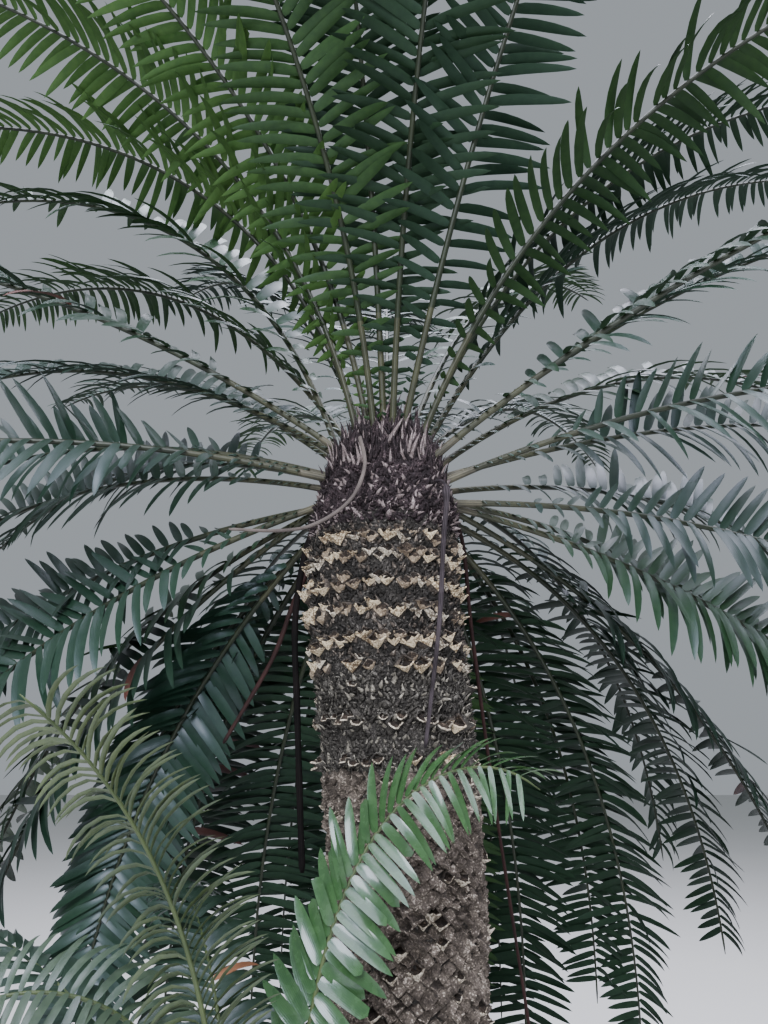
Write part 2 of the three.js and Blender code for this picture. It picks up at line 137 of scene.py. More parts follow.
# Dead stalks: width at both ends, depth as a share of it, paint, how much narrower they are
# along it, and path.
DEAD_STALKS = {
    "dead_stalk_front": (
        (0.024, 0.011), 0.45, "dead_stalk_skin",
        [(0, 0.3), (0.155, 0.32), (0.185, 1.05), (0.24, 0.64), (1, 0.8)],
        [
            (0.07, -0.09, 2.29), (0.112, -0.152, 2.286), (0.125, -0.197, 2.236),
            (0.113, -0.207, 2.1), (0.098, -0.211, 1.9), (0.061, -0.227, 1.63),
        ],
    ),
    "dead_stalk_right": (
        (0.018, 0.012), 0.7, "dead_stalk_red", [(0, 0.66)],
        [
            (0.11, 0.06, 2.242), (0.186, 0.106, 2.228), (0.218, 0.158, 1.93),
            (0.267, 0.205, 1.5), (0.345, 0.255, 0.9),
        ],
    ),
    "dead_stalk_left": (
        (0.019, 0.018), 0.7, "dead_stalk_black", [(0, 1)],
        [
            (-0.14, 0.04, 2.242), (-0.226, 0.072, 2.226), (-0.274, 0.112, 2.0),
            (-0.262, 0.14, 1.7), (-0.24, 0.165, 1.33),
        ],
    ),
    "dead_stalk_bent": (
        (0.019, 0.011), 0.7, "dead_stalk_red", [(0, 1)],
        [
            (-0.12, 0.09, 2.242), (-0.2, 0.152, 2.224), (-0.288, 0.205, 2.05),
            (-0.352, 0.235, 1.88), (-0.48, 0.25, 1.65),
        ],
    ),
    "dry_stem": (
        (0.011, 0.008), 0.95, "dry_stem_skin", [(0, 1)],
        [
            (-0.084, -0.06, 2.41), (-0.092, -0.16, 2.4), (-0.078, -0.206, 2.304),
            (-0.112, -0.226, 2.208), (-0.196, -0.214, 2.15), (-0.29, -0.17, 2.146),
            (-0.427, -0.11, 2.168),
        ],
    ),
}

# Leaflets: stations along a blade, and its half width there as a share.
BLADE_AT = np.array([0.0, 0.05, 0.19, 0.4, 0.6, 0.78, 0.91])
BLADE_WIDTH = np.array([0.46, 0.79, 0.97, 1.0, 0.91, 0.7, 0.4])
BLADE_THICKNESS = 0.0012
BLADE_BEND_POWER = 0.85
# Blades torn off short keep their width and end in a jagged edge.
TORN_WIDTH = np.array([0.46, 0.79, 0.98, 1.0, 0.99, 0.96, 0.9])
BLADE_CUP = 0.13
# Leaflets stand closer and closer up to this share of the frond.
SPACING_KNEE = 0.42
# Leaflets: length, width, distance apart at the stalk end and past the knee, the chance
# that one is torn, how much narrower and shorter they get toward the tip, and the chance
# of a dead one.
LEAFLETS = {
    "upright": (0.24, 0.027, 0.058, 0.0305, 0.012, 0.25, 0.5, 0.0),
    "spreading": (0.235, 0.031, 0.068, 0.0375, 0.012, 0.25, 0.5, 0.001),
    "arching": (0.235, 0.033, 0.07, 0.038, 0.012, 0.25, 0.5, 0.0),
    "hanging": (0.24, 0.03, 0.05, 0.0275, 0.012, 0.2, 0.5, 0.004),
}
YOUNG_LEAFLETS = [
    (0.132, 0.031, 0.021, 0.021, 0.42, 0.72, 0.15, 0.0),
    (0.148, 0.01, 0.0145, 0.0145, 0.0, 0.1, 0.1, 0.002),
    (0.16, 0.0145, 0.018, 0.018, 0.03, 0.2, 0.4, 0.0),
    (0.16, 0.02, 0.021, 0.021, 0.05, 0.2, 0.5, 0.01),
    (0.16, 0.02, 0.021, 0.021, 0.05, 0.2, 0.5, 0.01),
]
# How far single leaflets stray from their frond's stance, in degrees.
STRAY = dict(sweep=3.5, rise=8.0, bend=7.0, turn=14.0)

# Trunk skin: heights of the bands of broken cream leaf bases and how full each is, the
# height up to which most of them are cups, and the old diamond leaf bases under them.
BANDS = [
    (1.6, 0.6), (1.69, 0.5), (1.76, 0.14), (1.82, 0.7), (1.873, 0.85), (1.946, 0.95),
    (2.014, 0.95), (2.079, 0.95), (2.13, 0.7),
]
BAND_STEP = 0.0115
BAND_SIZES = [(0.048, 0.041, 0.048), (0.04, 0.034, 0.043)]
BASES_ROUND = 29
CUPS_TOP = 1.8
DIAMOND_TOP = 1.58
DIAMOND_PITCH = 0.0172
DIAMONDS_ROUND = 29
# Small scales between the bands, from where they are purple, from where the bud's are
# long, and the sucker's leaf bases.
SCALE_PITCH = 0.0088
SCALES_ROUND = 98
PURPLE_FROM = 2.165
LONG_BUD_SCALES_FROM = 2.33
SUCKER_BASES_ROUND = 14
SUCKER_BASES_TOP = 0.8

# Camera: at eye height, looking up.
CAMERA_PLACE = (-0.03, -2.0, 1.6)
CAMERA_PITCH = 18.0
CAMERA_LENS = 27.07


# Small helpers for values and vectors.
def table(rows, at, column=1):
    rows = np.array(rows, float)
    return np.interp(at, rows[:, 0], rows[:, column])


def round_at(radii, z):
    """The length once round a stem at a height."""
    return 2 * math.pi * float(table(radii, z))


def lean_at(rows, z):
    """Where a stem's middle is at a height, smoothed."""
    z = np.asarray(z, float)
    shifts = (-LEAN_SMOOTHING, 0.0, LEAN_SMOOTHING)
    x, y = (sum(table(rows, z + d, k) for d in shifts) / 3 for k in (1, 2))
    return np.stack([x, y, z], -1)


def mix(a, b, share):
    return a + (b - a) * share


def unit(v):
    return v / np.maximum(np.linalg.norm(v, axis=-1, keepdims=True), 1e-9)


def distance_along(line):
    steps = np.linalg.norm(np.diff(line, axis=0), axis=1)
    return np.concatenate([[0], np.cumsum(steps)])


def points_at(at, along, line):
    """Points of a line at some distances or shares along it."""
    return np.stack([np.interp(at, along, line[:, k]) for k in range(3)], 1)


def smooth_noise(rng, rows, columns, cell_rows, cell_columns):
    """A soft random field that closes on itself round its columns."""
    grid = rng.random((cell_rows + 2, cell_columns))
    r = np.linspace(0, cell_rows, rows)
    c = np.arange(columns) / columns * cell_columns
    r0, c0 = np.floor(r).astype(int), np.floor(c).astype(int)
    fr, fc = r - r0, c - c0
    fr, fc = fr * fr * (3 - 2 * fr), fc * fc * (3 - 2 * fc)
    c1 = (c0 + 1) % cell_columns
    low, high = (mix(grid[line][:, c0], grid[line][:, c1], fc) for line in (r0, r0 + 1))
    return mix(low, high, fr[:, None]) * 2 - 1


# Objects and meshes from arrays.
def linked(name, data):
    made = bpy.data.objects.new(name, data)
    bpy.context.scene.collection.objects.link(made)
    return made


def mesh_object(name, points, faces, materials=(), face_material=0, uv=None, smooth=True):
    """An object from points, and arrays of faces that each have one number of corners."""
    points = np.asarray(points, np.float32).reshape(-1, 3)
    faces = [np.asarray(f, np.int32) for f in faces]
    sizes = np.concatenate([np.full(len(f), f.shape[1]) for f in faces])
    mesh = bpy.data.meshes.new(name)
    mesh.vertices.add(len(points))
    mesh.vertices.foreach_set("co", points.ravel())
    mesh.loops.add(int(sizes.sum()))
    mesh.loops.foreach_set("vertex_index", np.concatenate([f.ravel() for f in faces]))
    mesh.polygons.add(len(sizes))
    mesh.polygons.foreach_set("loop_start", (np.cumsum(sizes) - sizes).astype(np.int32))
    for material in materials:
        mesh.materials.append(material)
    mesh.polygons.foreach_set("material_index", np.full(len(sizes), face_material, np.int32))
    mesh.polygons.foreach_set("use_smooth", np.full(len(sizes), smooth))
    mesh.update(calc_edges=True)
    if uv is not None:
        layer = mesh.uv_layers.new(name="surface")
        layer.data.foreach_set("uv", np.asarray(uv, np.float32).ravel())
    return linked(name, mesh)


def mark(mesh, name, kind, domain, values):
    """Gives a mesh an attribute."""
    field = "vector" if kind == "FLOAT_VECTOR" else "value"
    mesh.attributes.new(name, kind, domain).data.foreach_set(field, values.ravel())


def ring_faces(rows, columns):
    """Quads between rings of points, and fans of triangles to a point at the foot and one at
    the tip, which follow the rings."""
    k = np.arange(columns)
    following = (k + 1) % columns
    i = np.arange(rows - 1)[:, None] * columns
    a, b = i + k, i + following
    quads = np.stack([a, b, b + columns, a + columns], -1).reshape(-1, 4)
    foot = rows * columns
    end = foot - columns
    return quads, np.concatenate([
        np.stack([np.full(columns, foot), following, k], -1),
        np.stack([np.full(columns, foot + 1), end + k, end + following], -1),
    ])


def finish_piece(piece, slot_name, nodes):
    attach(piece, "root")
    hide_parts(*nodes)


# Nodes and shader maths.
def make_node(tree, kind, settings, *values, **named):
    """Adds a node with its settings, and the values or links of its sockets."""
    made = tree.nodes.new(kind)
    for key, value in settings.items():
        setattr(made, key, value)
    pairs = [(made.inputs[i], value) for i, value in enumerate(values)]
    pairs += [(made.inputs[key.replace("_", " ")], value) for key, value in named.items()]
    for socket, value in pairs:
        if isinstance(value, Number):
            value = value.socket
        if isinstance(value, bpy.types.NodeSocket):
            tree.links.new(value, socket)
        elif value is not None:
            socket.default_value = value
    return made


class Number:
    """A number in a material: arithmetic on it adds Math nodes."""

    def __init__(self, paint, socket):
        self.paint = paint
        self.socket = socket

    def math(self, operation, *values):
        return self.paint.number("ShaderNodeMath", {"operation": operation}, *values)

    def __add__(self, other):
        return self.math("ADD", self, other)

    def __radd__(self, other):
        return self.math("ADD", other, self)

    def __sub__(self, other):
        return self.math("SUBTRACT", self, other)

    def __rsub__(self, other):
        return self.math("SUBTRACT", other, self)

    def __mul__(self, other):
        return self.math("MULTIPLY", self, other)

    def __rmul__(self, other):
        return self.math("MULTIPLY", other, self)

    def above(self, edge, soft):
        """0 below the edge, 1 above it, over a soft step."""
        settings = {"interpolation_type": "SMOOTHSTEP"}
        return self.paint.number("ShaderNodeMapRange", settings, self, edge - soft, edge + soft)


class Paint:
    """A material under construction, on Object coordinates."""

    def __init__(self, name):
        self.material = bpy.data.materials.new(name)
        self.material.use_nodes = True
        self.tree = self.material.node_tree
        self.tree.nodes.clear()
        self.place = self.node("ShaderNodeTexCoord", {}).outputs["Object"]

    def node(self, kind, settings, *values, **named):
        return make_node(self.tree, kind, settings, *values, **named)

    def number(self, kind, settings, *values, **named):
        return Number(self, self.node(kind, settings, *values, **named).outputs[0])

    def noise(self, scale, detail):
        return self.number("ShaderNodeTexNoise", {}, Vector=self.place, Scale=scale, Detail=detail)

    def cells(self, scale):
        return self.number("ShaderNodeTexVoronoi", {}, Vector=self.place, Scale=scale)

    def ridges(self, count):
        """Even lengthwise ridges across the piece's own UV map."""
        uv = self.node("ShaderNodeUVMap", {"uv_map": "surface"}).outputs[0]
        across = self.number("ShaderNodeSeparateXYZ", {}, uv) * (count * 2 * math.pi)
        return across.math("SINE", across) * 0.5 + 0.5

    def blend(self, share, low, high):
        sides = [(*side, 1.0) if isinstance(side, tuple) else side for side in (low, high)]
        unused = [None] * 5
        return self.node("ShaderNodeMix", {"data_type": "RGBA"}, share, *unused, *sides).outputs[2]

    def finish(self, colour, rough, height=None, bump=0.0, depth=0.0, **plain):
        """The material, with a bump where a height is given, and other plain values."""
        if height is not None:
            made = self.node("ShaderNodeBump", {}, Strength=bump, Distance=depth, Height=height)
            plain["Normal"] = made.outputs[0]
        plain.update(Base_Color=colour, Roughness=rough)
        shader = self.node("ShaderNodeBsdfPrincipled", {}, **plain)
        self.node("ShaderNodeOutputMaterial", {}, shader.outputs[0])
        return self.material


# A painted lilac tint on the reflections of the waxy leaflets, for the colour of the sky they
# mirror.
SHEEN_TINT = (0.72, 0.76, 1.0, 1.0)


def leaf_face(name, dark, light, roughness, veins, coat, gloss=0.5, coat_roughness=0.22):
    """Leather-like leaf skin with fine lengthwise veins."""
    paint = Paint(name)
    broad = paint.noise(2.3, 2.0)
    fine = paint.noise(55.0, 3.0)
    vein = paint.ridges(veins)
    colour = paint.blend((broad * 0.7 + fine * 0.5 - 0.1).above(0.5, 0.3), dark, light)
    return paint.finish(
        colour, roughness - 0.06 + fine * 0.14, vein * 0.6 + fine * 0.4, 0.25, 0.0006,
        Coat_Weight=coat, Coat_Roughness=coat_roughness, Specular_IOR_Level=gloss,
        Specular_Tint=SHEEN_TINT,
    )


def stalk_skin(name, dark, light, roughness, gloss=0.35):
    """Smooth leaf stalk with long faint ridges."""
    paint = Paint(name)
    ridge = paint.ridges(9)
    patch = paint.noise(14.0, 4.0)
    fleck = paint.noise(160.0, 2.0)
    colour = paint.blend((patch * 0.8 + ridge * 0.2).above(0.55, 0.25), dark, light)
    return paint.finish(
        colour, roughness - 0.08 + fleck * 0.2, ridge * 0.5 + fleck * 0.5, 0.35, 0.0012,
        Specular_IOR_Level=gloss,
    )


def rough_skin(name, dark, middle, light, grain, roughness=0.9, light_edge=0.6):
    """Weathered plant skin in three tones, with grit and fibre."""
    paint = Paint(name)
    broad = paint.noise(grain, 5.0)
    fine = paint.noise(grain * 9, 4.0)
    grit = paint.cells(grain * 14)
    colour = paint.blend((broad * 0.6 + fine * 0.4).above(0.48, 0.14), dark, middle)
    colour = paint.blend((fine * 0.65 + broad * 0.35).above(light_edge, 0.06), colour, light)
    return paint.finish(
        colour, roughness - 0.1 + fine * 0.18, fine * 0.6 + grit * 0.4, 0.9, 0.004,
        Specular_IOR_Level=0.25,
    )


# Crown leaflets: dark and light green of an upper side, then of its under side, which in most tones
# is darker as painted shade.
LEAF_TONES = [
    ((0.009, 0.027, 0.014), (0.02, 0.046, 0.023), (0.008, 0.02, 0.009), (0.017, 0.038, 0.016)),
    ((0.01, 0.03, 0.018), (0.022, 0.051, 0.029), (0.01, 0.024, 0.013), (0.019, 0.041, 0.021)),
    ((0.014, 0.04, 0.018), (0.028, 0.066, 0.027), (0.016, 0.038, 0.013), (0.032, 0.068, 0.02)),
    ((0.022, 0.06, 0.02), (0.048, 0.105, 0.032), (0.03, 0.07, 0.018), (0.06, 0.122, 0.03)),
    # Darkest tone: painted shade for the skirt and other fronds under the crown.
    ((0.008, 0.022, 0.013), (0.016, 0.037, 0.021), (0.006, 0.017, 0.008), (0.013, 0.031, 0.014)),
]
# Other leaf faces: dark and light tone, roughness, veins, coat, gloss and coat roughness.
YOUNG_FACES = {
    "young_leaflet_top": ((0.018, 0.05, 0.018), (0.048, 0.108, 0.038), 0.26, 8, 0.5, 0.35, 0.12),
    "young_leaflet_under": ((0.03, 0.07, 0.024), (0.075, 0.14, 0.045), 0.42, 9, 0.2),
    "olive_leaflet_top": ((0.024, 0.042, 0.024), (0.055, 0.085, 0.05), 0.38, 8, 0.4),
    "olive_leaflet_under": ((0.034, 0.052, 0.02), (0.085, 0.112, 0.04), 0.45, 9, 0.15),
    "shaded_leaflet_top": ((0.009, 0.022, 0.013), (0.02, 0.04, 0.024), 0.4, 8, 0.4),
    "shaded_leaflet_under": ((0.008, 0.02, 0.01), (0.018, 0.036, 0.018), 0.5, 9, 0.1),
    "young_leaflet_dry": ((0.13, 0.052, 0.026), (0.24, 0.11, 0.05), 0.6, 7, 0.0),
}
# Ribs and stalks: dark and light tone, roughness and gloss.
STALKS = {
    "stalk_foot": ((0.045, 0.042, 0.03), (0.12, 0.11, 0.072), 0.5),
    # Stalk and rib greens are darkened further as painted shade, as ribs show dark against the sky.
    "stalk_olive_and_shade": ((0.022, 0.025, 0.014), (0.058, 0.06, 0.03), 0.45),
    "rib_green_and_shade": ((0.009, 0.014, 0.007), (0.022, 0.03, 0.013), 0.42),
    "young_rib": ((0.032, 0.05, 0.018), (0.075, 0.1, 0.034), 0.42),
    "dead_stalk_skin": ((0.008, 0.006, 0.007), (0.066, 0.053, 0.06), 0.75, 0.15),
    "dead_stalk_black": ((0.003, 0.003, 0.003), (0.01, 0.007, 0.007), 0.75, 0.1),
    "dead_stalk_red": ((0.012, 0.005, 0.005), (0.042, 0.017, 0.015), 0.65, 0.2),
    "dry_stem_skin": ((0.06, 0.048, 0.044), (0.17, 0.14, 0.125), 0.7),
}
# Bark and bud: dark, middle and light tone, grain, roughness and where the light tone starts.
ROUGH = {
    "trunk_fibre": ((0.01, 0.009, 0.008), (0.042, 0.038, 0.034), (0.16, 0.145, 0.13), 22.0),
    "trunk_moss_skin": ((0.02, 0.017, 0.015), (0.075, 0.069, 0.06), (0.22, 0.205, 0.18), 30.0),
    "pale_fleck": ((0.12, 0.11, 0.09), (0.32, 0.29, 0.24), (0.55, 0.52, 0.44), 40.0),
    "leaf_base_side": ((0.024, 0.019, 0.016), (0.09, 0.074, 0.06), (0.24, 0.2, 0.165), 26.0),
    "leaf_base_tan": ((0.034, 0.027, 0.022), (0.15, 0.123, 0.102), (0.5, 0.44, 0.37), 24.0),
    "old_leaf_base_rim": (
        (0.1, 0.08, 0.06), (0.33, 0.28, 0.215), (0.62, 0.56, 0.45), 26.0, 0.88, 0.52,
    ),
    "worn_leaf_base_rim": (
        (0.09, 0.066, 0.046), (0.3, 0.235, 0.165), (0.58, 0.49, 0.37), 26.0, 0.88,
    ),
    "leaf_base_rim": ((0.12, 0.082, 0.05), (0.38, 0.29, 0.18), (0.68, 0.57, 0.4), 26.0, 0.85, 0.5),
    # Hollows of leaf bases: brown darkened nearly to black as painted shade.
    "leaf_base_cup_shade": ((0.008, 0.006, 0.005), (0.038, 0.027, 0.02), (0.14, 0.105, 0.075), 34.0),
    "bud_scale": ((0.008, 0.005, 0.006), (0.034, 0.023, 0.026), (0.14, 0.1, 0.105), 30.0, 0.75),
    "bud_scale_dry": ((0.1, 0.075, 0.072), (0.28, 0.225, 0.22), (0.5, 0.43, 0.42), 30.0, 0.8),
}
leaf_paints = []
for tone, greens in enumerate(LEAF_TONES):
    leaf_paints.append(leaf_face(f"leaflet_top_{tone + 1}", *greens[:2], 0.38, 7, 0.12, 0.42))
    leaf_paints.append(leaf_face(f"leaflet_under_{tone + 1}", *greens[2:], 0.5, 9, 0.0, 0.15))
dead_tones = ((0.06, 0.021, 0.014), (0.13, 0.048, 0.028))
leaf_paints.append(leaf_face("leaflet_dead", *dead_tones, 0.6, 7, 0.0))
young_paints = [leaf_face(name, *given) for name, given in YOUNG_FACES.items()]
stalk_paints = {name: stalk_skin(name, *given) for name, given in STALKS.items()}
rough_paints = {name: rough_skin(name, *given) for name, given in ROUGH.items()}


# Leaflets.
def blade_points(root, ahead, bend_to, length, width, bend, twist, torn):
    """Closed thin blades: each has 7 rings of left, top, right and under points, and a tip."""
    n = len(root)
    u = np.append(BLADE_AT, 1.0)
    phi = (bend[:, None] * u ** BLADE_BEND_POWER)[..., None]
    bend_to = unit(bend_to - ahead * (bend_to * ahead).sum(-1, keepdims=True))
    wide = np.cross(bend_to, ahead)
    along = ahead[:, None] * np.cos(phi) + bend_to[:, None] * np.sin(phi)
    step = np.diff(u)[:, None] * length[:, None, None]
    run = np.cumsum((along[:, 1:] + along[:, :-1]) / 2 * step, 1)
    centre = np.concatenate([np.zeros((n, 1, 3)), run], 1) + root[:, None]
    top = np.cross(wide[:, None], along)
    turn = (twist[:, None] * (0.35 + 0.65 * u))[..., None]
    across = wide[:, None] * np.cos(turn) + top * np.sin(turn)
    top = (top * np.cos(turn) - wide[:, None] * np.sin(turn))[:, :-1]
    share = np.where(torn[:, None], TORN_WIDTH, BLADE_WIDTH)
    half = share[:, :, None] * width[:, None, None] / 2
    ring = centre[:, :-1]
    cup = half * BLADE_CUP * 2
    left = ring - across[:, :-1] * half + top * cup
    right = ring + across[:, :-1] * half + top * cup
    upper = ring + top * (BLADE_THICKNESS / 2)
    under = ring - top * (BLADE_THICKNESS / 2)
    jag = (along[:, -2] * length[:, None] * 0.06) * torn[:, None]
    left[:, -1] += jag * np.sin(np.arange(n) * 2.4)[:, None]
    right[:, -1] += jag * np.sin(np.arange(n) * 5.3 + 1)[:, None]
    rings = np.stack([left, upper, right, under], 2).reshape(n, -1, 3)
    return np.concatenate([rings, centre[:, -1:]], 1)


def blade_faces(rings):
    """Faces of one blade or scale, and which of them are on its upper side."""
    quads = []
    for j in range(rings - 1):
        l, t, r, b = (j * 4 + k for k in range(4))
        quads += [(l, t, t + 4, l + 4), (t, r, r + 4, t + 4)]
        quads += [(l, l + 4, b + 4, b), (b, b + 4, r + 4, r)]
    quads.append((0, 3, 2, 1))
    l, t, r, b, tip = range(rings * 4 - 4, rings * 4 + 1)
    tris = [(l, t, tip), (t, r, tip), (l, tip, b), (b, tip, r)]
    sides = [True, True, False, False]
    return (np.array(quads), np.array(tris)), (sides * (rings - 1) + [False], sides)


def leaflet_piece(name, points, tones, materials):
    """One mesh of many blades. A tone picks a pair of upper and under paints, or -1 the last
    one."""
    kinds, uppers = blade_faces(len(BLADE_AT))
    across = [0.0, 0.5, 1.0, 0.5] * len(BLADE_AT) + [0.5]
    uv = np.stack([across, np.append(np.repeat(BLADE_AT, 4), 1.0)], -1)
    n, m = points.shape[:2]
    shift = (np.arange(n) * m)[:, None, None]
    faces, paints, corners = [], [], []
    for kind, upper in zip(kinds, uppers):
        faces.append((kind[None] + shift).reshape(-1, kind.shape[1]))
        index = tones[:, None] * 2 + np.where(upper, 0, 1)[None]
        paints.append(np.where(tones[:, None] < 0, len(materials) - 1, index).ravel())
        corners.append(np.tile(uv[kind].reshape(-1, 2), (n, 1)))
    piece = mesh_object(
        name, points, faces, materials, np.concatenate(paints), np.concatenate(corners),
    )
    mesh = piece.data
    ends = np.zeros(len(mesh.edges) * 2, np.int32)
    mesh.edges.foreach_get("vertices", ends)
    local = ends.reshape(-1, 2) % m
    # Points on a blade's margin and its tip have even numbers.
    sharp = (local % 2 == 0).all(1) | (local < 4).all(1)
    mark(mesh, "sharp_edge", "BOOLEAN", "EDGE", sharp)
    return piece


# Fronds.
def frond_line(row, rolls, seat, length, power, at):
    """Points, directions, sides and ups of a frond's middle line at shares of its length."""
    azimuth, rise, bend = (math.radians(v) for v in row[:3])
    out = np.array([math.cos(azimuth), math.sin(azimuth), 0.0])
    side = np.array([-out[1], out[0], 0.0])
    fine = 240
    s = np.linspace(0, 1, fine + 1)
    angle = (rise - bend * s ** power)[:, None]
    along = out * np.cos(angle) + UP * np.sin(angle)
    points = seat + np.concatenate([np.zeros((1, 3)), np.cumsum(along[:-1], 0)]) * length / fine
    where, ahead = points_at(at, s, points), unit(points_at(at, s, along))
    upright = unit(np.cross(ahead, side))
    turn = np.radians(mix(*rolls, at ** 2) * np.clip(at / STALK_SHARE, 0, 1))[:, None]
    across = side * np.cos(turn) + upright * np.sin(turn)
    return where, ahead, across, upright * np.cos(turn) - side * np.sin(turn)


def along3(values, s):
    """A size along a frond: at its foot, at the knee and at its tip."""
    first, middle, last = values
    past = (s - RIB_KNEE) / (1 - RIB_KNEE)
    return np.where(s < RIB_KNEE, mix(first, middle, s / RIB_KNEE), mix(middle, last, past))


def leaflet_share(t, fade):
    grow = np.minimum(1, 0.16 + t / 0.28)
    return grow * (1 - fade * (np.maximum(t - 0.6, 0) / 0.4) ** 1.5)


def tube(centre, side, up, half_width, half_depth, part):
    """A closed tube round a line, with its UV and the paint of each step along it."""
    n = len(centre)
    angle = np.arange(RIB_SIDES) / RIB_SIDES * 2 * math.pi
    ring = (
        centre[:, None]
        + side[:, None] * (np.cos(angle) * half_width[:, None])[..., None]
        + up[:, None] * (np.sin(angle) * half_depth[:, None])[..., None]
    )
    points = np.concatenate([ring.reshape(-1, 3), centre[:1], centre[-1:]])
    quads, tris = ring_faces(n, RIB_SIDES)
    length = distance_along(centre)
    u0 = np.broadcast_to(np.arange(RIB_SIDES) / RIB_SIDES, (n - 1, RIB_SIDES))
    u1 = u0 + 1 / RIB_SIDES
    v0, v1 = (np.broadcast_to(v[:, None], u0.shape) for v in (length[:-1], length[1:]))
    uv = np.stack([u0, v0, u1, v0, u1, v1, u0, v1], -1).reshape(-1, 2)
    caps = np.zeros((len(tris) * 3, 2))
    return points, quads, tris, uv, caps, np.repeat(part, RIB_SIDES), np.full(len(tris), part[-1])


def tube_piece(name, tubes, materials):
    """One mesh of many tubes."""
    points, quads, tris, uv, caps, paints, cap_paints = zip(*tubes)
    counts = [len(p) for p in points]
    starts = np.cumsum(counts) - counts
    faces = [np.concatenate([f + at for f, at in zip(kind, starts)]) for kind in (quads, tris)]
    return mesh_object(
        name, np.concatenate(points), faces, materials,
        np.concatenate(paints + cap_paints), np.concatenate(uv + caps),
    )


def leaflet_places(rng, leafy, spacing, knee_spacing):
    """Shares of the leafy part where leaflets stand: wide apart at the stalk, then closer."""
    t = [0.2 * spacing / leafy]
    while t[-1] < 0.985:
        gap = mix(spacing, knee_spacing, min(1.0, t[-1] / SPACING_KNEE))
        t.append(t[-1] + gap / leafy * rng.uniform(0.88, 1.12))
    return np.array(t[:-1])


def grow_frond(rng, row, seat, length, power, blades, ribs, tone, habit, leaflets, rolls, young):
    """Adds one frond: its rib to ribs, and its leaflets to blades."""
    scale = YOUNG_RIB_SHARE if young else 1.0

    def line(at):
        return frond_line(row, rolls, seat, length, power, at)

    s = np.concatenate([np.linspace(0, 0.12, 9), np.linspace(0.15, 1, 34)])
    where, ahead, side, up = line(s)
    width, depth = (along3(values, s) * scale for values in (RIB_WIDTH, RIB_DEPTH))
    centre = where - up * (depth * 0.46)[:, None]
    centre = np.concatenate([centre, centre[-1:] + ahead[-1:] * RIB_TIP])
    ribs.append(tube(
        centre, np.concatenate([side, side[-1:]]), np.concatenate([up, up[-1:]]),
        np.append(width * 0.47, 0.001), np.append(depth * 0.47, 0.001),
        np.zeros(len(s), int) if young else np.digitize(s, RIB_PAINT_EDGES),
    ))
    full, broad, wide_gap, gap, torn_share, narrowing, fade, dying = leaflets
    for hand, way in ((1, habit[0]), (-1, habit[-1])):
        t = leaflet_places(rng, length * (1 - STALK_SHARE), wide_gap, gap)
        t = t[rng.random(len(t)) > 0.02]
        n = len(t)
        s = mix(STALK_SHARE, 1, t)
        where, ahead, side, up = line(s)
        out = hand * along3(RIB_WIDTH, s) * scale * 0.36
        root = where + side * out[:, None] - up * (along3(RIB_DEPTH, s) * scale * 0.16)[:, None]
        torn = (rng.random(n) < torn_share) & (t < 0.7)
        share = leaflet_share(t, fade)
        size = full * share * rng.uniform(0.9, 1.0, n) * np.where(torn, rng.uniform(0.6, 0.85, n), 1)
        small = 1 - np.clip(share / 0.7, 0, 1)
        sweep = np.radians(mix(*way["sweep"], t) + rng.normal(0, STRAY["sweep"], n))[:, None]
        rise = mix(*way["rise"], t ** 2) * (1 - 1.4 * small)
        rise = np.radians(rise + rng.normal(0, STRAY["rise"], n))[:, None]
        level = hand * side * np.cos(sweep) + ahead * np.sin(sweep)
        aim = level * np.cos(rise) + up * np.sin(rise)
        fall = unit(-up - UP * way["heavy"])
        if way["upper"]:
            fall = np.broadcast_to(-unit(np.array(way["upper"])), up.shape)
        breadth = broad * (0.5 + 0.5 * share) * (1.08 - narrowing * t) * rng.uniform(0.92, 1.08, n)
        bend = mix(*way["bend"], t) + rng.normal(0, STRAY["bend"], n)
        bend = np.radians(bend) * (1 - 0.35 * small)
        twist = np.radians(hand * (way["turn"] + rng.normal(0, STRAY["turn"], n)))
        dead = rng.random(n) < dying
        points = blade_points(root, aim, fall, size, breadth, bend, twist, torn)
        blades.append((points, np.where(dead, -1, tone)))
    if young:
        return
    # Small prickles stand on the stalk below the first leaflets.
    s = PRICKLES_AT
    n = len(s)
    where, ahead, side, up = line(s)
    for hand in (1, -1):
        root = where + side * (hand * along3(RIB_WIDTH, s) * 0.4)[:, None] - up * 0.004
        aim = unit(hand * side + ahead * 0.35 - up * 0.2)
        points = blade_points(
            root, aim, -up, rng.uniform(*PRICKLE_LENGTH, n), np.full(n, PRICKLE_WIDTH),
            np.full(n, 0.3), np.zeros(n), np.zeros(n, bool),
        )
        blades.append((points, np.full(n, tone)))


def stance(sweep, rise, bend, heavy, turn=12.0, upper=None):
    """How leaflets stand, in degrees, each as a pair of values at the stalk end and at the
    frond's tip: sweep toward the tip, rise over the blade, and bend. Heavy is the share of
    the bend that goes straight down, turn the twist, and upper a way the upper sides face."""
    sweep, rise, bend = (np.array(pair, float) for pair in (sweep, rise, bend))
    return dict(sweep=sweep, rise=rise, bend=bend, heavy=heavy, turn=turn, upper=upper)


# Stances of both rows of a frond at the back or front, and of the far and the near row of
# one that points to the side.
HABITS = {
    "upright": [stance((16, 44), (16, 16), (46, 52), 0.9)] * 3,
    "spreading": [
        stance((20, 46), (34, 34), (66, 66), 0.5), stance((26, 48), (38, 34), (36, 36), 0.4),
        stance((22, 44), (2, 2), (46, 46), 0.6),
    ],
    "arching": [
        stance((14, 42), (40, 40), (70, 66), 0.3), stance((44, 56), (44, 36), (8, 14), 0.3),
        stance((22, 38), (-22, -20), (26, 30), 0.5),
    ],
    "hanging": [
        stance((-2, 14), (8, 8), (34, 30), 0.12), stance((40, 46), (42, 4), (8, 16), 0.12),
        stance((12, 26), (-20, 4), (26, 26), 0.3),
    ],
}
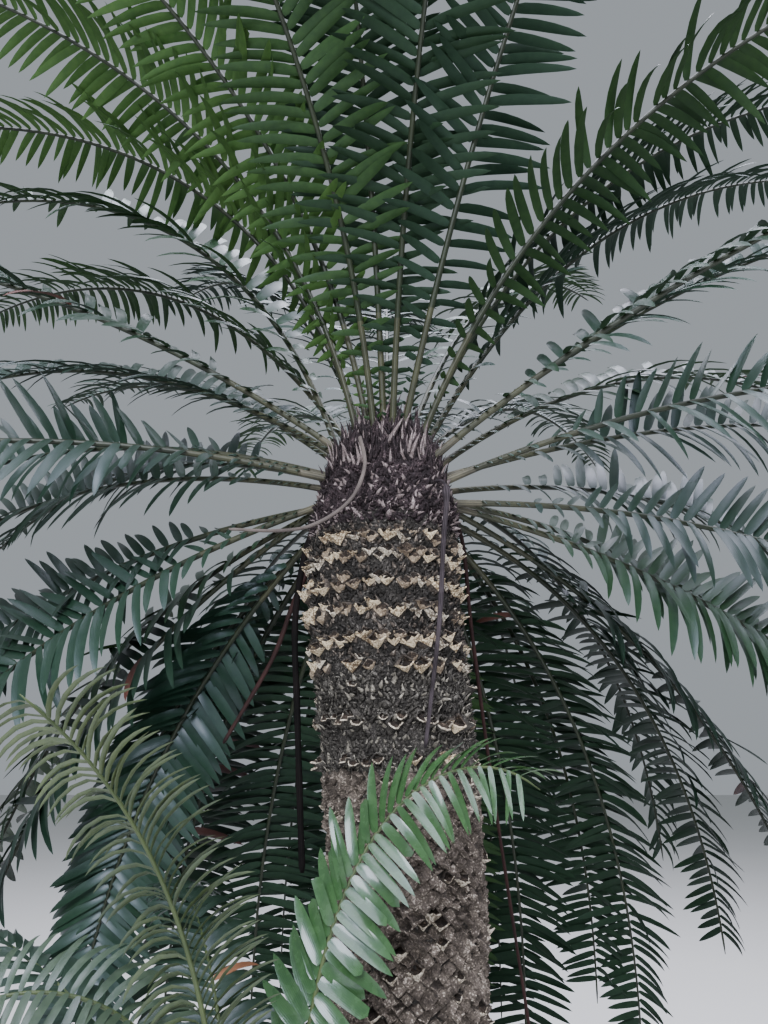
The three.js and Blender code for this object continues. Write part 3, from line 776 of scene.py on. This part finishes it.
# How far the fronds at the sides roll, in degrees at the stalk and the tip, so that their
# upper sides face the front, and how fast this fades for fronds toward the back.
ROLLS = {"upright": (0, 0), "spreading": (12, 16), "arching": (28, 34), "hanging": (32, 66)}
ROLL_FADE = {"upright": 1, "spreading": 1.6, "arching": 1.6, "hanging": 3.4}
# One frond of the skirt whose leaflets all turn toward the front.
TWISTED_FROND = 8
TWISTED_TONE = 1
TWISTED_HABIT = [
    stance((24, 36), (20, 20), (56, 56), 0.6, 6, (0.48, -0.76, 0.44)),
    stance((34, 42), (-58, -58), (34, 34), 0.4, 6, (-0.1, -0.88, 0.46)),
]
YOUNG_HABITS = [
    [stance((30, 80), (6, 42), (10, 44), 0.5), stance((-34, 12), (-6, -52), (30, 22), 0.6, 8)],
    [
        stance((66, 66), (20, 24), (44, 62), 1.0, 62, (-0.95, -0.15, 0.3)),
        stance((32, 42), (22, 28), (104, 116), 2.5, 30),
    ],
    [
        stance((10, 20), (-24, -24), (30, 30), 1.0, 10),
        stance((-20, -30), (58, 52), (52, 60), 1.6, 24),
    ],
    [stance((24, 50), (14, 14), (50, 60), 0.4)],
    [stance((24, 50), (14, 14), (50, 60), 0.4)],
]
YOUNG_TONES = (0, 1, 1, 2, 2)
# Tone 4, the darkest, is painted shade for fronds low in the crown.
TIER_TONES = {
    "upright": (3, 3, 2, 0, 0, 1, 2, 0, 1, 2, 0, 1, 2, 3), "spreading": (0, 1, 2),
    "arching": (1, 4, 0), "hanging": (4, 2, 4, 1),
}


def side_stance(back, own, share):
    """A stance between the one at the back and a row's own one."""
    mixed = ("sweep", "rise", "bend", "heavy")
    return {**own, **{key: mix(back[key], own[key], share) for key in mixed}}


def seat_in(middle, radius, height, depth, row):
    """Where a frond starts: so deep in the stem that it comes out at its seat."""
    direction, rise = math.radians(row[0]), math.radians(min(row[1], STEEPEST_SEAT))
    reach = radius - depth
    return np.array([
        middle[0] + reach * math.cos(direction), middle[1] + reach * math.sin(direction),
        height - depth * math.tan(rise),
    ])


def finish_fronds(name, blades, leaf_materials, ribs, rib_materials, slot_name, nodes):
    """Makes two pieces: the leaflets of a spray of fronds, and their ribs."""
    points, tones = (np.concatenate(values) for values in zip(*blades))
    leaves = leaflet_piece(f"{name}_leaflets", points, tones, leaf_materials)
    finish_piece(leaves, slot_name, nodes)
    finish_piece(tube_piece(f"{name}_ribs", ribs, rib_materials), slot_name, nodes)


rng = np.random.default_rng(11)
rib_paints = [stalk_paints[name] for name in ("stalk_foot", "stalk_olive_and_shade", "rib_green_and_shade")]
for tier, (radius, height, length, layers, rows) in TIERS.items():
    nodes = [f"frond_{tier}_{index + 1:02d}" for index in range(len(rows))]
    for layer, turned in enumerate(layers):
        blades, ribs = [], []
        for index, given in enumerate(rows):
            row = [value + more for value, more in zip(given, turned)]
            odd = index % 2
            seat = seat_in(
                CROWN, radius - odd * SEAT_STAGGER_IN, height + odd * SEAT_STAGGER_UP,
                SEAT_DEPTH, row,
            )
            tone = TIER_TONES[tier][(index + layer) % len(TIER_TONES[tier])]
            level = math.cos(math.radians(row[0]))
            sideways = abs(level) ** ROLL_FADE[tier]
            roll = [math.copysign(sideways, level) * value for value in ROLLS[tier]]
            back, far, near = HABITS[tier]
            habit = [side_stance(back, own, sideways) for own in (far, near)]
            if level < 0:
                habit.reverse()
            if tier == "hanging" and index == TWISTED_FROND:
                habit, tone, roll = TWISTED_HABIT, TWISTED_TONE, (0, 0)
            grow_frond(
                rng, row, seat, length, BEND_POWER, blades, ribs, tone, habit, LEAFLETS[tier],
                roll, False,
            )
        name = f"{tier}_{layer + 1}" if len(layers) > 1 else tier
        finish_fronds(name, blades, leaf_paints, ribs, rib_paints, "frond", nodes)

blades, ribs, nodes = [], [], []
for index, row in enumerate(SUCKER_ROWS):
    middle = lean_at(SUCKER_LEAN, SUCKER_CROWN)
    seat = seat_in(middle, SUCKER_SEAT, SUCKER_SEAT_HEIGHT, SUCKER_SEAT_DEPTH, row)
    grow_frond(
        rng, row, seat, row[3], row[4], blades, ribs, YOUNG_TONES[index], YOUNG_HABITS[index],
        YOUNG_LEAFLETS[index], (row[5], 0), True,
    )
    nodes.append(f"sucker_frond_{index + 1}")
young_rib = [stalk_paints["young_rib"]]
finish_fronds("sucker", blades, young_paints, ribs, young_rib, "young_frond", nodes)


# Dead stalks.
def smooth_path(path, count):
    """Points evenly spaced on a smooth curve through the path."""
    path = np.array(path, float)
    padded = np.concatenate([[2 * path[0] - path[1]], path, [2 * path[-1] - path[-2]]])
    t = np.linspace(0, 1, 20, endpoint=False)[:, None]
    out = []
    for p0, p1, p2, p3 in zip(padded, padded[1:], padded[2:], padded[3:]):
        out.append(0.5 * (
            2 * p1 + (p2 - p0) * t + (2 * p0 - 5 * p1 + 4 * p2 - p3) * t ** 2
            + (3 * p1 - p0 - 3 * p2 + p3) * t ** 3
        ))
    dense = np.concatenate([*out, path[-1:]])
    length = distance_along(dense)
    return points_at(np.linspace(0, length[-1], count), length, dense)


STALK_RINGS = 60
for name, (width, flat, paint, profile, path) in DEAD_STALKS.items():
    centre = smooth_path(path, STALK_RINGS)
    ahead = unit(np.gradient(centre, axis=0))
    side = unit(np.cross(np.array([0.31, 0.95, 0.0]), ahead))
    s = np.linspace(0, 1, STALK_RINGS)
    wobble = 1 + 0.05 * np.sin(s * 31 + len(name)) + 0.03 * np.sin(s * 83)
    half = mix(*width, s) / 2 * wobble * table(profile, s)
    half[-1] *= 0.55
    part = np.zeros(STALK_RINGS - 1, int)
    made = tube(centre, side, np.cross(ahead, side), half, half * flat, part)
    piece = tube_piece(f"{name}_skin", [made], [stalk_paints[paint]])
    finish_piece(piece, "dead_stalk", [name])


# Trunk, bud and sucker: radii, lean, slot and node of each. A fibrous skin carries leaf
# bases and scales.
TRUNK = (TRUNK_RADIUS, TRUNK_LEAN, "bark", ["trunk"])
BUD = (BUD_RADIUS, TRUNK_LEAN, "bud_scales", ["crown_bud"])
SUCKER = (SUCKER_RADIUS, SUCKER_LEAN, "bark", ["sucker_stem"])


def round_ways(angle):
    return np.stack([np.cos(angle), np.sin(angle), np.zeros(len(angle))], -1)


def skin_piece(name, stem, rows, columns, sink, rough, seed, paint):
    radii, lean, *site = stem
    rng = np.random.default_rng(seed)
    z = np.linspace(radii[0][0], radii[-1][0], rows)
    bump = sum(
        smooth_noise(rng, rows, columns, rows // cell, columns // cell) * share
        for cell, share in ((14, 0.5), (5, 0.35), (2, 0.3))
    )
    radius = table(radii, z)[:, None]
    r = np.maximum(radius + (rough * bump - sink) * np.clip(radius / 0.03, 0, 1), 0.0005)
    middle = lean_at(lean, z)
    out = round_ways(np.arange(columns) / columns * 2 * math.pi)
    points = (middle[:, None] + r[..., None] * out).reshape(-1, 3)
    points = np.concatenate([points, middle[:1], middle[-1:]])
    finish_piece(mesh_object(name, points, ring_faces(rows, columns), [rough_paints[paint]]), *site)


SIDE, RIM, CUP = 0, 1, 2


def shape_object(name, points, faces, part, smooth):
    piece = mesh_object(name, points, faces, smooth=smooth)
    mark(piece.data, "part", "INT", "FACE", part.astype(np.int32))
    return piece


def leaf_base_shape(name, seed, lip, hollow, torn, flank, roundness=0.0, pale_flank=True):
    """A broken leaf base: a diamond or a rounder cup with a torn edge round a hollow. X
    across, Y up, Z out."""
    rng = np.random.default_rng(seed)
    corners = np.array([(0.5, 0.06), (0.0, 0.5), (-0.5, 0.06), (0.0, -0.5)])
    edge = np.array([0.0, 0.34, 0.68])[:, None]
    outline = np.concatenate([mix(a, b, edge) for a, b in zip(corners, np.roll(corners, -1, 0))])
    around = len(outline)
    reach = np.linalg.norm(outline, axis=1, keepdims=True)
    outline = outline * (1 + roundness * (0.46 / reach - 1)) * rng.uniform(0.94, 1.05, (around, 1))
    x, y = outline.T
    rough = rng.uniform(-1, 1, around)
    broken = rng.random(around) < 0.2
    top = np.where(broken, 0.5, 1.0) * mix(0.1, lip, np.clip(0.5 - y, 0, 1)) + torn * rough
    edge_y = np.where(y < 0.02, y * (1 - flank), y * 0.86) + 0.05 * rough
    rings = [
        (x, y, np.full(around, -0.25)),
        (x * 0.98, y * 0.98, np.full(around, 0.05)),
        (x * 0.84, edge_y, top),
        (x * 0.68, edge_y * 0.8 + 0.02, top - 0.02),
        (x * 0.48, np.maximum(edge_y * 0.6, -0.06) + 0.06, top * 0.4 + hollow * 0.6),
    ]
    points = np.concatenate([np.stack(ring, -1) for ring in rings] + [[[0, 0.12, hollow]]])
    lower = y + np.roll(y, -1) < 0.16
    part = np.concatenate([
        np.full(around, SIDE), np.where(lower & pale_flank, RIM, SIDE),
        np.where(lower, RIM, SIDE), np.full(2 * around, CUP),
    ])
    quads, tris = ring_faces(len(rings), around)
    # The foot stays open, so the point in the hollow takes the foot's number.
    hollow_faces = np.roll(tris[around:] - (1, 0, 0), -1, 1)
    return shape_object(name, points, (quads, hollow_faces), part, False)


def scale_shape(name, long, curl):
    """A pointed bud scale that stands out from its foot and curls at the tip. X across, Y
    up, Z out."""
    points = []
    for at, half in ((0.0, 0.5), (0.35, 0.42), (0.72, 0.2)):
        y, z = at * long, 0.1 + curl * at ** 1.6
        points += [(-half, y, z), (0, y, z + 0.16), (half, y, z), (0, y, z - 0.05)]
    points.append((0, long, 0.1 + curl * 1.1))
    faces = [np.roll(kind[:, ::-1], 1, 1) for kind in blade_faces(3)[0]]
    return shape_object(name, points, faces, np.full(sum(map(len, faces)), SIDE), True)


def scatter_tree():
    """Stands a shape on every point, turned to face out, and paints its parts."""
    tree = bpy.data.node_groups.new("stand_on_skin", "GeometryNodeTree")
    inputs = {
        "Points": "Geometry", "Shape": "Object", "Seed": "Int", "Smallest": "Float",
        "Largest": "Float", "Turned back": "Vector", "Turned on": "Vector",
        **dict.fromkeys(("Side", "Rim", "Cup", "Pale"), "Material"),
    }
    for label, kind in inputs.items():
        tree.interface.new_socket(label, in_out="INPUT", socket_type=f"NodeSocket{kind}")
    tree.interface.new_socket("Geometry", in_out="OUTPUT", socket_type="NodeSocketGeometry")

    def add(kind, settings, *values, **named):
        return make_node(tree, kind, settings, *values, **named).outputs

    def marked(name, kind="FLOAT_VECTOR"):
        return add("GeometryNodeInputNamedAttribute", {"data_type": kind}, name)["Attribute"]

    def random(kind, *values):
        return add("FunctionNodeRandomValue", {"data_type": kind}, *values, Seed=given["Seed"])

    given = add("NodeGroupInput", {})
    shape = add("GeometryNodeObjectInfo", {}, Object=given["Shape"])["Geometry"]
    axes = {"primary_axis": "Z", "secondary_axis": "Y"}
    facing = add("FunctionNodeAxesToRotation", axes, marked("facing"), marked("above"))[0]
    jolt = random("FLOAT_VECTOR", given["Turned back"], given["Turned on"])[0]
    turned = add("FunctionNodeRotateRotation", {"rotation_space": "LOCAL"}, facing, jolt)[0]
    swell = random("FLOAT", None, None, given["Smallest"], given["Largest"])[1]
    size = add("ShaderNodeVectorMath", {"operation": "SCALE"}, marked("size"), Scale=swell)[0]
    placed = dict(Instance=shape, Rotation=turned, Scale=size)
    made = add("GeometryNodeInstanceOnPoints", {}, given["Points"], **placed)[0]
    made = add("GeometryNodeRealizeInstances", {}, made)[0]
    made = add("GeometryNodeSetMaterial", {}, made, Material=given["Side"])[0]
    equal = {"data_type": "INT", "operation": "EQUAL"}
    for label, name, value in (("Rim", "part", RIM), ("Cup", "part", CUP), ("Pale", "pale", 1)):
        same = add("FunctionNodeCompare", equal, None, None, marked(name, "INT"), value)[0]
        made = add("GeometryNodeSetMaterial", {}, made, same, given[label])[0]
    add("NodeGroupOutput", {}, made)
    return tree


stand_on_skin = scatter_tree()


def stand(name, stem, spots, shape, seed, paints, size_jitter=0.12, turn_jitter=0.12):
    """Makes one plain mesh of a shape standing on many spots of a stem."""
    holder = mesh_object(f"{name}_spots", spots["at"], [np.zeros((0, 3))])
    for key in ("facing", "above", "size"):
        mark(holder.data, key, "FLOAT_VECTOR", "POINT", spots[key].astype(np.float32))
    mark(holder.data, "pale", "INT", "POINT", spots["pale"].astype(np.int32))
    modifier = holder.modifiers.new("stand", "NODES")
    modifier.node_group = stand_on_skin
    given = {
        "Shape": shape, "Seed": seed, "Smallest": 1 - size_jitter, "Largest": 1 + size_jitter,
        "Turned back": (-turn_jitter,) * 3, "Turned on": (turn_jitter,) * 3,
    }
    for label, paint in zip(("Side", "Rim", "Cup", "Pale"), paints):
        given[label] = rough_paints[paint]
    for item in stand_on_skin.interface.items_tree:
        if item.in_out == "INPUT" and item.name in given:
            modifier[item.identifier] = given[item.name]
    evaluated = holder.evaluated_get(bpy.context.evaluated_depsgraph_get())
    made = bpy.data.meshes.new_from_object(evaluated)
    made.name = name
    points = np.zeros(len(made.vertices) * 3, np.float32)
    made.vertices.foreach_get("co", points)
    points[2::3] = np.maximum(points[2::3], 0.0)
    made.vertices.foreach_set("co", points)
    for key in ("part", "pale", "facing", "above", "size"):
        made.attributes.remove(made.attributes[key])
    bpy.data.objects.remove(holder)
    finish_piece(linked(name, made), *stem[2:])


def stem_rows(bottom, top, pitch, row_at):
    """Rows of spots up a stem, every other one shifted by half a step. row_at gives how many
    stand at a height, their size, tilt up from the skin and share of pale ones."""
    rows = []
    z = bottom
    while z < top:
        count, *rest = row_at(z)
        rows.append((z, count, len(rows) % 2 / 2, *rest))
        z += pitch
    return rows


def spots_on(stem, rows, sink=0.0):
    """Spots on a stem: places, the ways they face, the ways up, sizes and which are pale."""
    radii, lean = stem[:2]
    found = []
    for z, count, shift, size, tilt, pale in rows:
        angle = (np.arange(count) + shift + rng.uniform(-0.1, 0.1, count)) / count * 2 * math.pi
        height = z + rng.uniform(-0.12, 0.12, count) * size[1]
        slope = ((table(radii, height + 0.01) - table(radii, height - 0.01)) / 0.02)[:, None]
        out = round_ways(angle)
        rise = unit(out * slope + UP)
        found.append((
            lean_at(lean, height) + out * (table(radii, height) - sink)[:, None],
            unit(unit(out - UP * slope) * math.cos(tilt) + rise * math.sin(tilt)),
            rise, np.tile(size, (count, 1)), rng.random(count) < pale,
        ))
    keys = ("at", "facing", "above", "size", "pale")
    return {key: np.concatenate(values) for key, values in zip(keys, zip(*found))}


def pick(spots, mask):
    return {key: value[mask] for key, value in spots.items()}


base_shapes = [
    leaf_base_shape("base_open", 3, 0.5, -0.05, 0.08, 0.62),
    leaf_base_shape("base_torn", 8, 0.42, 0.0, 0.12, 0.45),
    leaf_base_shape("base_full", 5, 0.3, 0.12, 0.06, 0.5, 0.45),
    leaf_base_shape("base_cup", 12, 0.5, -0.1, 0.07, 0.12, 0.8, False),
]
short_scale = scale_shape("scale_short", 1.5, 0.55)
long_scale = scale_shape("scale_long", 3.2, 1.3)

# Paints of the sides, rims and cups of leaf bases; the darkest cup paint is painted shade in the
# hollow.
BASE_PAINTS = {
    "old": [
        ("leaf_base_side", "old_leaf_base_rim", "leaf_base_cup_shade"),
        ("leaf_base_side", "leaf_base_tan", "leaf_base_side"),
        ("leaf_base_side", "leaf_base_tan", "leaf_base_tan"),
    ],
    "cream": [
        ("leaf_base_side", "leaf_base_rim", "leaf_base_cup_shade"),
        ("trunk_fibre", "old_leaf_base_rim", "leaf_base_cup_shade"),
        ("leaf_base_side", "worn_leaf_base_rim", "leaf_base_cup_shade"),
        ("trunk_moss_skin", "old_leaf_base_rim", "leaf_base_cup_shade"),
    ],
}
# The same of scales, and the paint of the pale ones.
MOSS = ("trunk_moss_skin",) * 3 + ("pale_fleck",)
DARK_MOSS = ("trunk_fibre",) * 3 + ("leaf_base_tan",)
BUD_SCALES = ("bud_scale",) * 3 + ("bud_scale_dry",)


def base_row(radii, count, share, high, deep, tilt):
    """A rule for rows of leaf bases that fill a share of the way round."""
    return lambda z: (count, (round_at(radii, z) / count * share, high, deep), tilt, 0.0)


def small_scale_row(z):
    if z > PURPLE_FROM:
        return SCALES_ROUND, (0.014, 0.011, 0.018), 0.1, 0.3
    return SCALES_ROUND, (0.012, 0.0095, 0.011), 0.1, 0.2


def bud_row(z):
    count = max(8, int(round_at(BUD_RADIUS, z) / 0.0135))
    long = 0.0105 + 0.014 * np.clip((z - 2.3) / 0.2, 0, 1)
    return count, (0.0125, long, long), 0.15, 0.2


def sucker_scale_row(z):
    count = max(6, int(round_at(SUCKER_RADIUS, z) / 0.016))
    return count, (0.014, 0.016, 0.016), 0.2, 0.2


def stand_bases(age, spots, choice, seed, size_jitter, turn_jitter):
    for k, paints in enumerate(BASE_PAINTS[age]):
        stand(
            f"{age}_leaf_bases_{k + 1}", TRUNK, pick(spots, choice == k), base_shapes[k],
            seed + k, (*paints, "leaf_base_rim"), size_jitter, turn_jitter,
        )


rng = np.random.default_rng(31)
skin_piece("trunk_skin", TRUNK, 380, 200, sink=0.009, rough=0.0035, seed=21, paint="trunk_fibre")
row_at = base_row(TRUNK_RADIUS, DIAMONDS_ROUND, 1.06, DIAMOND_PITCH * 2.2, 0.04, 0.1)
diamonds = spots_on(TRUNK, stem_rows(0.016, DIAMOND_TOP, DIAMOND_PITCH, row_at), sink=0.007)
choice = rng.choice(3, len(diamonds["at"]), p=[0.07, 0.43, 0.5])
stand_bases("old", diamonds, choice, 40, 0.26, 0.3)

rows = []
for index, (z, share) in enumerate(BANDS):
    for step, size in enumerate(BAND_SIZES):
        kept = share * (1 - 0.15 * step)
        rows.append((z + step * BAND_STEP, BASES_ROUND, (index + step) % 2 / 2, size, 0.16, kept))
bands = spots_on(TRUNK, rows, sink=0.006)
bands = pick(bands, bands["pale"])
bands["pale"] = np.zeros(len(bands["at"]))
choice = rng.choice(3, len(bands["at"]), p=[0.4, 0.25, 0.35])
choice = np.where((bands["at"][:, 2] < CUPS_TOP) & (rng.random(len(choice)) < 0.75), 3, choice)
stand_bases("cream", bands, choice, 50, 0.28, 0.34)

rows = stem_rows(DIAMOND_TOP - 0.01, TRUNK_TOP, SCALE_PITCH, small_scale_row)
small = spots_on(TRUNK, rows, sink=0.008)
purple = small["at"][:, 2] > PURPLE_FROM
dark = small["at"][:, 2] > CUPS_TOP
for name, mask, seed, paints, turn in (
    ("trunk_moss", ~dark, 61, MOSS, 0.8), ("trunk_moss_dark", dark & ~purple, 61, DARK_MOSS, 0.8),
    ("trunk_scales", purple, 62, BUD_SCALES, 1.0),
):
    stand(name, TRUNK, pick(small, mask), short_scale, seed, paints, 0.45, turn)

skin_piece("bud_skin", BUD, 60, 120, sink=0.0, rough=0.003, seed=23, paint="bud_scale")
spots = spots_on(BUD, stem_rows(2.2, 2.512, SCALE_PITCH, bud_row))
low = spots["at"][:, 2] < LONG_BUD_SCALES_FROM
stand("bud_scales_low", BUD, pick(spots, low), short_scale, 71, BUD_SCALES, 0.45, 0.9)
stand("bud_scales_high", BUD, pick(spots, ~low), long_scale, 72, BUD_SCALES, 0.4, 0.5)

skin_piece("sucker_skin", SUCKER, 110, 80, sink=0.006, rough=0.003, seed=25, paint="trunk_fibre")
row_at = base_row(SUCKER_RADIUS, SUCKER_BASES_ROUND, 1, 0.052, 0.032, 0.15)
spots = spots_on(SUCKER, stem_rows(0.02, SUCKER_BASES_TOP, 0.025, row_at), sink=0.005)
paints = (*BASE_PAINTS["old"][1], "leaf_base_rim")
stand("sucker_leaf_bases", SUCKER, spots, base_shapes[1], 81, paints)
spots = spots_on(SUCKER, stem_rows(0.79, 0.893, 0.011, sucker_scale_row))
stand("sucker_scales", SUCKER, spots, long_scale, 82, BUD_SCALES, 0.3, 0.35)

for shape in (*base_shapes, short_scale, long_scale):
    bpy.data.objects.remove(shape)


# Floor, light and camera.
paint = Paint("floor")
paint.finish(paint.blend(paint.noise(0.6, 2.0), (0.62, 0.62, 0.6), (0.66, 0.66, 0.64)), 0.9)
corners = [(x * 40.0, y * 40.0, -0.001) for x, y in ((-1, -1), (1, -1), (1, 1), (-1, 1))]
floor = mesh_object("floor", corners, [np.array([[0, 1, 2, 3]])], [paint.material], smooth=False)
floor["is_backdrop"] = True

world = bpy.data.worlds.new("soft_sky")
world.use_nodes = True
background = world.node_tree.nodes["Background"]
background.inputs["Color"].default_value = (0.83, 0.9, 0.97, 1.0)
background.inputs["Strength"].default_value = 0.4
bpy.context.scene.world = world


def soft_light(name, place, aim, size, power, colour):
    light = bpy.data.lights.new(name, "AREA")
    light.size = size
    light.energy = power
    light.color = colour
    holder = linked(name, light)
    holder.location = place
    x, y, z = (to - start for to, start in zip(aim, place))
    holder.rotation_euler = (math.atan2(math.hypot(x, y), -z), 0.0, math.atan2(-x, y))


soft_light("sky_above", (1.0, -1.0, 8.5), (0.0, 0.0, 2.2), 10.5, 2600.0, (0.87, 0.87, 1.0))
soft_light("sky_front", (-1.2, -5.5, 4.2), (0.0, 0.0, 1.8), 2.5, 500.0, (0.9, 0.93, 1.0))

camera_data = bpy.data.cameras.new("camera")
camera_data.sensor_width = 36.0
camera_data.lens = CAMERA_LENS
camera_data.clip_start = 0.02
camera_data.clip_end = 200.0
camera = linked("camera", camera_data)
camera.location = CAMERA_PLACE
camera.rotation_euler = (math.radians(90 + CAMERA_PITCH), 0.0, 0.0)
bpy.context.scene.camera = camera

low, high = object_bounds()
